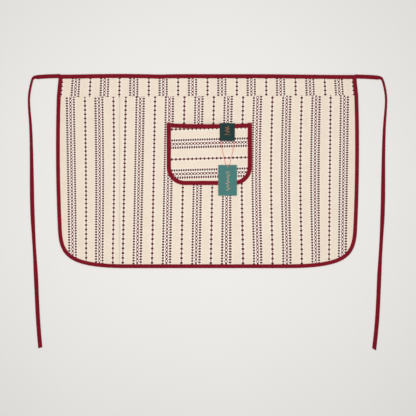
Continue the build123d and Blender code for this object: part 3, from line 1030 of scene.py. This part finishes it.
def underside_seams():
    """The seams that show only on the back: yoke to skirt, and side panel to main panel."""
    reach = HALF_WIDTH - BINDING_WIDTH
    above, beside = 1.8, 1.3        # how far the rows of stitches are from the two seams
    back = PANEL_TOP - CLOTH
    yoke_line = [(x, seam_y(x) + above, back + lift(x, seam_y(x) + above) - 0.05)
                 for x in np.linspace(-reach, reach, 260)]
    join_line = [(JOIN_X + beside, y, back + lift(JOIN_X, y) - 0.35)
                 for y in np.linspace(SEAM_LEFT_Y, HEM_Y + BINDING_WIDTH, 160)]
    for name, line, node in (
            ("yoke_seam_stitches", yoke_line, "yoke_stitching"),
            ("panel_join_stitches", join_line, "panel_join_stitching")):
        points = np.array(line)
        row = stitch_row(name, points, -flat_normals(points), CREAM_THREAD, radius=0.24)
        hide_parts(node)
        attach(row, "apron")


# ------------------------------------------------------------------ pocket
def opening_share(x, y):
    """How much of the mouth's opening a place on the pocket's front takes part in."""
    aside = 1 - float(smoothstep(PLATEAU, FRONT_HALF, abs(x - POCKET_X)))
    return aside * float(smoothstep(HINGE_Y, HINGE_Y + 26, y))


def open_with_mouth(piece):
    """Bakes the piece's place into its mesh and works out each point's share of the mouth's opening; the
    shares are not used, so the piece does not bend.
    """
    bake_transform(piece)
    shares = [opening_share(v.co.x / MM, v.co.y / MM) for v in piece.data.vertices]


def pocket_half(y, inset):
    """Half width of the pocket at a height, with its rounded lower corners."""
    half = (POCKET_HIGH.x - POCKET_LOW.x) / 2 - inset
    radius = POCKET_CORNER - inset
    up = y - (POCKET_LOW.y + inset)
    if up >= radius:
        return half
    return half - radius + math.sqrt(max(0.0, radius ** 2 - (radius - up) ** 2))


def pocket_path():
    """The pocket's edge from its left top, round the bottom, to its right top."""
    turn = np.linspace(0, math.pi / 2, 24)
    far, near = POCKET_CORNER * (1 - np.cos(turn)), POCKET_CORNER * (1 - np.sin(turn))
    left_corner = np.stack([POCKET_LOW.x + far, POCKET_LOW.y + near], axis=1)
    right_corner = np.stack([POCKET_HIGH.x - near, POCKET_LOW.y + far], axis=1)
    left_top, right_top = (POCKET_LOW.x, POCKET_HIGH.y), (POCKET_HIGH.x, POCKET_HIGH.y)
    return np.vstack([left_top, left_corner, right_corner, right_top])


POCKET_TUCK = 6.0           # the pocket's cloth ends this far inside its tape's outer edge


def pocket_height(x, y):
    """Upper face of the pocket's cloth, slack in its middle and pressed down under its tape."""
    slack = noise.noise(Vector((x / 30, y / 22, 3.3))) * 0.35
    edge = min(pocket_half(y, POCKET_TUCK) - abs(x - POCKET_X), y - (POCKET_LOW.y + POCKET_TUCK))
    pucker = noise.noise(Vector((x / 6, y / 6, 7.7))) * 0.2 * (1 - float(smoothstep(6, 20, edge)))
    ease = float(smoothstep(0, 14, edge))
    free = float(smoothstep(4.5, 9.5, edge))
    rise = front_height(x, y) * (0.3 + 0.7 * free) + slack * ease + pucker * free
    return FRONT_TOP + rise - 0.45 * (1 - free)


def pocket_front():
    count = 62
    top = MOUTH_TOP - 5.0
    bottom = POCKET_LOW.y + POCKET_TUCK
    rows = []
    for i in reversed(range(count)):
        y = bottom + (top - bottom) * (1 - math.cos(math.pi / 2 * i / (count - 1)))
        half = pocket_half(y, POCKET_TUCK)
        rows.append([(x, y) for x in np.linspace(POCKET_X - half, POCKET_X + half, 78)])
    front = laid_sheet("pocket_cloth", rows, pocket_height, pocket_weave, COTTON)
    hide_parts("pocket_panel_lower", "pocket_panel_upper")
    open_with_mouth(front)
    return front


def pocket_bindings():
    edge, edge_stitches = sewn_tape("pocket_edge_tape", "pocket_stitches", pocket_path(), POCKET_TAPE,
                                    POCKET_LOW.z, TAPE_TOP + 0.3, TAPE_TOP, height=lambda x, y: 0.0)
    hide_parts("pocket_edge_binding")
    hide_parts("pocket_stitching")
    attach(edge, "apron")
    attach(edge_stitches, "apron")

    reach = (POCKET_HIGH.x - POCKET_LOW.x) / 2 - 3.0
    across = np.linspace(POCKET_X + reach, POCKET_X - reach, 150)
    mouth_path = np.array([(x, mouth_top(x)) for x in across])
    mouth_section = binding_section(POCKET_TAPE, MOUTH_LOW.z, TAPE_TOP - 0.1)
    mouth = binding("pocket_mouth_tape", mouth_path, mouth_section, TAPE, front_height, ease=0.35)
    mouth_line = seam_line(mouth_path, TAPE_TOP - 0.4, STITCH_INSET, POCKET_TAPE, front_height)
    margin = 2.0
    bare = (mouth_line[:, 0] < FLAP_LOW.x + margin) | (mouth_line[:, 0] > FLAP_HIGH.x - margin)
    groups = [mouth_line[bare & (mouth_line[:, 0] > POCKET_X + PLATEAU / 2)],
              mouth_line[bare & (mouth_line[:, 0] <= POCKET_X + PLATEAU / 2)]]
    mouth_stitches = [
        stitch_row(name, line, flat_normals(line), TAPE_THREAD)
        for name, line in zip(("pocket_mouth_stitches_right", "pocket_mouth_stitches_left"), groups)]
    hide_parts("pocket_mouth_binding")
    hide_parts("pocket_mouth_stitching")
    for piece in (mouth, *mouth_stitches):
        open_with_mouth(piece)
    return edge, mouth, edge_stitches, mouth_stitches


def bartacks():
    """A close zigzag of thread across each top corner of the pocket."""
    verts, faces, cloth = [], [], []
    ring, turns = 6, 15
    half, reach = 2.6, 1.15         # half its width, and how far a stitch reaches each way
    middle_y = POCKET_HIGH.y - 3.5
    for side in (POCKET_LOW.x + POCKET_TAPE / 2, POCKET_HIGH.x - POCKET_TAPE / 2):
        for k in range(turns):
            x = side - half + 2 * half * k / (turns - 1)
            tilt = 0.25 * (-1) ** k
            first = len(verts)
            for s in (-1.0, -0.75, 0.0, 0.75, 1.0):
                bow = 0.45 * (1 - s * s) + 0.02
                girth = 0.24 * (1 - 0.6 * abs(s) ** 3)
                for j in range(ring):
                    turn = 2 * math.pi * j / ring
                    verts.append((x + tilt * s + girth * math.cos(turn),
                                  middle_y + reach * s,
                                  TAPE_TOP + 0.12 + bow + girth * math.sin(turn)))
                    cloth.append((j / ring, s, 0.0))
            faces += tube_faces(5, ring, first)
    piece = new_piece("pocket_bartack_threads", verts, faces, TAPE_THREAD, cloth)
    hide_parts("pocket_bartacks")
    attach(piece, "apron")


# ------------------------------------------------------------------ woven label
def label_surface(x, y):
    """Height of the label's upper face over its hanging part."""
    return LABEL_REST_Z + LABEL_THICK + front_height(x, y)


def label_wave(x, y):
    return 0.25 * noise.noise(Vector((x / 16, y / 18, 2.6)))


def label_profile():
    """The label's middle line in its own (y, z) plane: up behind the mouth binding, over it, and down."""
    back_z = MOUTH_LOW.z - LABEL_THICK / 2 - 0.1
    front_z = LABEL_REST_Z + LABEL_THICK / 2
    top_y = TAB_HIGH.y - 1.2
    middle_z = (back_z + front_z) / 2
    radius = (front_z - back_z) / 2
    back = [(y, back_z) for y in np.linspace(TAB_LOW.y, top_y - radius, 5)]
    fold = [(top_y - radius + radius * math.sin(turn), middle_z - radius * math.cos(turn))
            for turn in np.linspace(0, math.pi, 12)[1:]]
    front = [(y, front_z) for y in np.linspace(top_y - radius, FLAP_LOW.y, 48)[1:]]
    return np.array(back + fold + front)


def woven_label():
    profile = label_profile()
    slope = tangents(profile)
    outward = np.stack([-slope[:, 1], slope[:, 0]], axis=1)
    along = distances(profile)
    columns = 40
    half = (FLAP_HIGH.x - FLAP_LOW.x) / 2
    middle = (FLAP_HIGH.x + FLAP_LOW.x) / 2
    upper, lower, cloth = [], [], []
    for i, (y, z) in enumerate(profile):
        from_end = along[-1] - along[i]
        for j in range(columns):
            share = -1 + 2 * j / (columns - 1)
            narrow = 1 - 0.012 * float(smoothstep(TAB_HIGH.y, FLAP_LOW.y, y))
            x = middle + share * half * narrow
            edge = min(half * (1 - abs(share)), from_end)
            border = 1 - float(smoothstep(0.9, 1.7, edge))
            hem_ridge = 0.12 * math.exp(-((from_end - 4.0) / 0.5) ** 2)
            curl = 0.25 * abs(share) ** 6
            raised = front_height(x, y) + hem_ridge - curl + label_wave(x, y)
            thick = LABEL_THICK / 2 * (0.55 + 0.45 * min(1.0, edge / 0.5))
            for store, side in ((upper, -1), (lower, 1)):
                store.append((x, y + side * outward[i, 0] * thick, z + side * outward[i, 1] * thick + raised))
            cloth.append((x, along[i], border))
    rows = len(profile)
    label = new_piece("label_cloth", upper + lower, two_faced(rows, columns), SATIN,
                      cloth + cloth)
    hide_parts("label_tab", "label_flap")
    hinge = next(j for j in frame["joints"] if j["name"] == "label_lift")
    x, y, z = hinge["pos_m"]
    y + 1.6 * MM
    y - 1.6 * MM
    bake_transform(label)
    return label


class Ornament:
    """Leaves and stems laid on a surface, collected into one mesh."""

    def __init__(self, surface, height):
        self.surface = surface
        self.height = height
        self.verts = []
        self.faces = []
        self.cloth = []

    def leaf(self, x, y, angle, length, width, steps=9):
        """A pointed leaf from (x, y), with a raised middle."""
        first = len(self.verts)
        ca, sa = math.cos(angle), math.sin(angle)
        levels = (-1.0, -0.55, 0.0, 0.55, 1.0)
        for i in range(steps):
            t = i / (steps - 1)
            half = width / 2 * math.sin(math.pi * t) ** 0.8 + 0.02
            for level in levels:
                px = x + ca * length * t - sa * half * level
                py = y + sa * length * t + ca * half * level
                dome = self.height * (1 - abs(level) ** 2.2) * min(1.0, 6 * t * (1 - t) + 0.15)
                self.verts.append((px, py, self.surface(px, py) + dome - 0.02))
                self.cloth.append((length * t + level * 0.2, half * level, 0.0))
        self.strip(first, steps, len(levels))

    def strip(self, first, rows, across):
        """Faces over the rows of points that start at first."""
        for i in range(rows - 1):
            for j in range(across - 1):
                a = first + i * across + j
                self.faces.append((a, a + across, a + across + 1, a + 1))

    def stem(self, points, width):
        """A low ridge along a line of points."""
        line, along = resample(points, 0.8)
        forward = tangents(line)
        first = len(self.verts)
        levels = (-1.0, 0.0, 1.0)
        for (x, y), (fx, fy), s in zip(line, forward, along):
            for level in levels:
                px = x - fy * width / 2 * level
                py = y + fx * width / 2 * level
                dome = self.height * 0.8 * (1 - abs(level)) - 0.02
                self.verts.append((px, py, self.surface(px, py) + dome))
                self.cloth.append((s, level, 0.0))
        self.strip(first, len(line), len(levels))

    def piece(self, name, material, slot):
        faces = [tuple(reversed(face)) for face in self.faces]
        return new_piece(name, self.verts, faces, material, self.cloth)


def label_ornament():
    """A small generic sprig in raised thread."""
    cx, cy = (FLAP_LOW.x + FLAP_HIGH.x) / 2, 109.0

    def surface(x, y):
        return label_surface(x, y) + label_wave(x, y)

    sprig = Ornament(surface, 0.38)
    sprig.stem([(cx - 3.4, cy - 10.5), (cx - 0.8, cy - 7.0), (cx + 0.6, cy - 1.0), (cx - 0.4, cy + 5.0),
                (cx + 1.4, cy + 9.0)], 1.0)
    sprig.leaf(cx + 1.2, cy + 7.6, math.radians(58), 5.4, 2.4)
    for side, up, reach, width, rise in (
            (-1, 4.6, 6.6, 2.2, 42), (1, 2.4, 7.0, 2.3, 30),
            (-1, -1.6, 7.4, 2.3, 22), (1, -4.0, 7.2, 2.2, 8)):
        angle = math.radians(rise if side > 0 else 180 - rise)
        sprig.leaf(cx + side * 0.3, cy + up, angle, reach, width)
    sprig.stem([(cx - 7.4, cy - 11.6), (cx - 3.0, cy - 10.2),
                (cx + 2.0, cy - 11.8), (cx + 7.6, cy - 10.6)], 0.8)
    piece = sprig.piece("label_ornament", COPPER_THREAD, None)
    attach(piece, "label_leaf")


def label_seam():
    y = TAB_LOW.y + STITCH_INSET + 0.3
    across = np.linspace(FLAP_LOW.x + 1, FLAP_HIGH.x - 1, 40)
    line = np.array([(x, y, label_surface(x, y) - 0.02) for x in across])
    row = stitch_row("label_stitches", line, flat_normals(line), GREEN_THREAD,
                     pitch=2.4, length=1.9, radius=0.22)
    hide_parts("label_stitching")
    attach(row, "pocket_mouth")


# ------------------------------------------------------------------ swing tag
def tag_surface(x, y):
    """Upper face of the tag, which slopes down towards its lower edge."""
    share = (y - TAG_LOW.y) / (TAG_HIGH.y - TAG_LOW.y)
    low = TAG_LOW.z + TAG_THICK
    return low + (TAG_HIGH.z - low) * share


def swing_tag():
    card = frame["nodes"]["swing_tag"]
    card.data.materials.clear()
    card.data.materials.append(CARD)
    cx, top = (TAG_LOW.x + TAG_HIGH.x) / 2 + 0.8, -1.0
    sprig = Ornament(tag_surface, 0.06)
    ring_radius = 3.6
    turns = np.linspace(0, 2 * math.pi, 25)
    ring = [(cx - 0.4 + ring_radius * math.sin(t), top - ring_radius + ring_radius * math.cos(t))
            for t in turns]
    sprig.stem(ring, 1.1)
    stem_top, height = top - 2 * ring_radius, 43.0

    def stem_x(share):
        return cx + 0.9 * math.sin(share * math.pi * 2.6)

    shares = np.linspace(0, 1, 26)
    sprig.stem([(stem_x(share), stem_top - height * share) for share in shares], 0.8)
    pairs = 5
    for k in range(pairs):
        share = (k + 0.7) / pairs
        y = stem_top - height * share
        length = (6.4, 4.2, 6.8, 5.0)[k % 4]
        sprig.leaf(stem_x(share), y, math.radians(30), length, 1.9)
        sprig.leaf(stem_x(share), y - 3.8, math.radians(152), length * 0.9, 1.8)
    piece = sprig.piece("tag_ornament", FOIL, None)
    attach(piece, "tag")


# ------------------------------------------------------------------ cords
CUT_SLANT = {-1: 1.0, 1: 2.6}   # how far each tie's sewn edge runs on past its middle, left and right
TIE_BEND = 0.6              # radius of the tape's middle where it is folded over
HALF_BEND = math.pi * TIE_BEND / 2


def flat_frames(points):
    """Level directions across a line."""
    forward = tangents(points)
    level = np.stack([-forward[:, 1], forward[:, 0], np.zeros(len(points))], axis=1)
    return forward, level / np.linalg.norm(level, axis=1)[:, None]


def folded(a, b, fold):
    """Where a point of the flat tape's section goes when the tape is folded over along the line a = fold."""
    start = fold - HALF_BEND
    turn = min(max((a - start) / TIE_BEND, 0.0), math.pi)
    beyond = a - start - turn * TIE_BEND
    return (start + TIE_BEND * math.sin(turn) + beyond * math.cos(turn) - b * math.sin(turn),
            TIE_BEND * (1 - math.cos(turn)) + b * math.cos(turn))


def tie_section():
    """A tape folded in four: rounded at its fold, with a slit along the sewn edge."""
    half, thick = TIE_WIDTH / 2, TIE_THICK / 2
    seam = half - TIE_SEAM
    # Each point is (across, height, lightening); the rounded fold and sewn edge get painted highlight along
    # with their wear.
    top = [(-half, 0.0, 1.0), (-half + 0.12, 0.55 * thick, 0.9), (-half + 0.6, 0.92 * thick, 0.4),
           (-half + 1.8, thick, 0.1)]
    top += [(a, thick, 0.0) for a in np.linspace(-half + 2.4, seam - 1.6, 13)]
    top += [(seam - 1.0, 0.97 * thick, 0.1),
            (seam - 0.3, 0.80 * thick, 0.0), (seam, 0.62 * thick, 0.0), (seam + 0.3, 0.80 * thick, 0.1),
            (half - 0.35, 0.85 * thick, 0.6), (half - 0.05, 0.60 * thick, 0.9), (half, 0.25 * thick, 0.5),
            (half - 0.5, 0.06 * thick, 0.0)]
    bottom = [(a, -b, rub_and_highlight) for a, b, rub_and_highlight in reversed(top[1:])]
    return top + bottom


def tie_tape(name, route, fold_at, mirror, cut_end):
    """A flat tape along a route, its stitches, and the line its middle follows."""
    points, along = spline_points(route, 1.5)
    half, thick = TIE_WIDTH / 2, TIE_THICK / 2
    seam_at = half - TIE_SEAM
    points[:, 2] = thick + 0.05
    forward, across = flat_frames(points)
    section = tie_section()
    girth = section_girth(section)
    verts, cloth, seam, seam_up = [], [], [], []
    for i, point in enumerate(points):
        fold = fold_at(along[i])
        crinkle = 1.03 + 0.03 * noise.noise(Vector((along[i] / 12, 1.0, mirror)))
        beat = 0.5 + 0.5 * math.cos(2 * math.pi * along[i] / STITCH_PITCH)
        ending = min(1.0, (along[-1] - along[i]) / 3.0) if cut_end else 1.0
        tucked = 0.9 if cut_end and i == 0 else 1.0     # a tail starts just inside its stub's end
        doubled = 1 - float(smoothstep(half - 2.0, half + HALF_BEND, fold))
        pressed = 1 - 0.32 * doubled
        sunk = thick * (1 - pressed)
        shape = []
        for a, b, _ in section:
            b = b * pressed * (0.75 + 0.25 * ending) * (1 - 0.12 * beat * (abs(a - seam_at) < 0.9))
            shape.append(folded(a, b, fold))
        reach = [a for a, _ in shape]
        middle = (min(reach) + max(reach)) / 2 - 0.6 * (1 - min(max(fold / half, 0.0), 1.0))
        # The section's third number, wear plus painted highlight on the rounded edges, goes to the tape's
        # finish.
        for (a, b), (flat_a, _, rub_and_highlight), around in zip(shape, section, girth):
            slant = (CUT_SLANT[mirror] if cut_end else 0.0) * (flat_a / half) * (1 - ending)
            sideways = mirror * (a - middle) * crinkle * tucked
            verts.append(point + across[i] * sideways + UP * (b * tucked - sunk) + forward[i] * slant)
            cloth.append((around, along[i], rub_and_highlight))
        low, high = folded(seam_at, 0.0, fold), folded(seam_at, 0.66 * thick * pressed, fold)
        seam.append(point + across[i] * (mirror * (high[0] - middle)) + UP * (high[1] - sunk))
        seam_up.append(across[i] * (mirror * (high[0] - low[0])) + UP * (high[1] - low[1]))
    verts = np.array(verts)
    verts[:, 2] = np.maximum(verts[:, 2], 0.02)
    faces = tube_faces(len(points), len(section))
    if mirror > 0:
        faces = [tuple(reversed(face)) for face in faces]
    tape = new_piece(name + "_tape", verts, faces, TAPE, cloth)
    seam_up = np.array(seam_up)
    seam_up = seam_up / np.linalg.norm(seam_up, axis=1)[:, None]
    stitches = stitch_row(name + "_stitches", np.array(seam), seam_up, TAPE_THREAD,
                          radius=0.26)
    return tape, stitches, points * MM


STUB_REACH = 66.1           # of the tie stub, from its start to where its tail begins
CORNER_FOLD = (-9.0, 13.0)  # from where to where, along the tie, the corner's fold goes over
OPENING = (75.0, 357.0)     # and from where to where the fold opens out again
SECOND_FOLD_AT = 461.0
SECOND_FOLD_REACH = 80.0
SECOND_FOLD_WIDTH = 2.9
OPEN_FROM = 0.4             # the fold's place across the tape when it starts to open


def tie_fold(start):
    """The tape is folded over at the corner, opens out down its length and turns its edge over once more.

    The start is the distance from the corner to where the piece begins; the value is where the fold runs.
    """
    open_at = TIE_WIDTH / 2 + HALF_BEND

    def fold(s):
        s = s + start
        at_corner = open_at * (1 - ramp(*CORNER_FOLD, s))
        opening = OPEN_FROM + (open_at - OPEN_FROM) * ramp(*OPENING, s)
        second = SECOND_FOLD_WIDTH * math.exp(-((s - SECOND_FOLD_AT) / SECOND_FOLD_REACH) ** 2)
        return max(at_corner, opening) - second
    return fold


def ties():
    for side, stub_route, tail_route in (
            ("left", TIE_LEFT_STUB, TIE_LEFT_TAIL), ("right", TIE_RIGHT_STUB, TIE_RIGHT_TAIL)):
        mirror = -1 if side == "left" else 1
        stub, stub_stitches, stub_path = tie_tape(
            f"tie_{side}_stub", stub_route, tie_fold(-STUB_REACH), mirror, False)
        tail, tail_stitches, tail_path = tie_tape(
            f"tie_{side}_tail", tail_route, tie_fold(0.0), mirror, True)
        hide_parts(f"tie_{side}_stub")
        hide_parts(f"tie_{side}_stub_stitching")
        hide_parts(f"tie_{side}_tail")
        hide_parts(f"tie_{side}_tail_stitching")
        start_x, end_x = stub_path[0][0], stub_path[0][0] + mirror * 0.012
        for piece in (stub, stub_stitches):
            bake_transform(piece)
        for piece in (tail, tail_stitches):
            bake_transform(piece)


def twisted_string(name, route):
    """Two plies of yarn twisted round the route's line."""
    points, along = spline_points(route, 0.4)
    forward = tangents(points)
    side = np.cross(forward, UP)
    side = side / np.linalg.norm(side, axis=1)[:, None]
    up = np.cross(side, forward)
    ring, plies, turn_length = 7, 2, 3.2
    ply_radius, offset = 0.37, 0.30
    verts, faces, cloth = [], [], []
    for ply in range(plies):
        first = len(verts)
        for i, point in enumerate(points):
            phase = 2 * math.pi * (along[i] / turn_length + ply / plies)
            centre = point + (side[i] * math.cos(phase) + up[i] * math.sin(phase)) * offset
            for j in range(ring):
                turn = 2 * math.pi * j / ring
                verts.append(centre + (side[i] * math.cos(turn) + up[i] * math.sin(turn)) * ply_radius)
                cloth.append((j / ring, along[i], 0.0))
        faces += tube_faces(len(points), ring, first)
    return new_piece(name, verts, faces, STRING_YARN, cloth), points * MM


def tag_strings():
    string, path = twisted_string("tag_string_yarn", TAG_STRING)
    loop, _ = twisted_string("tag_string_loop_yarn", TAG_STRING_LOOP)
    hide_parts("tag_string")
    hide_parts("tag_string_loop")
    open_with_mouth(string)
    hinge = next(j for j in frame["joints"] if j["name"] == "tag_lift")
    x, y, z = hinge["pos_m"]
    y + 0.6 * MM
    y - 2.4 * MM
    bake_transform(loop)


# ------------------------------------------------------------------ build
ties()
tag_strings()
main_cloth, side_cloth = skirt()
yoke_cloth = yoke()
edge_tape, waist_tape, tape_stitches = edge_bindings()
underside_seams()
pocket_cloth = pocket_front()
pocket_tape, mouth_tape, pocket_stitches, mouth_stitches = pocket_bindings()
bartacks()
label_cloth = woven_label()
label_ornament()
label_seam()
swing_tag()
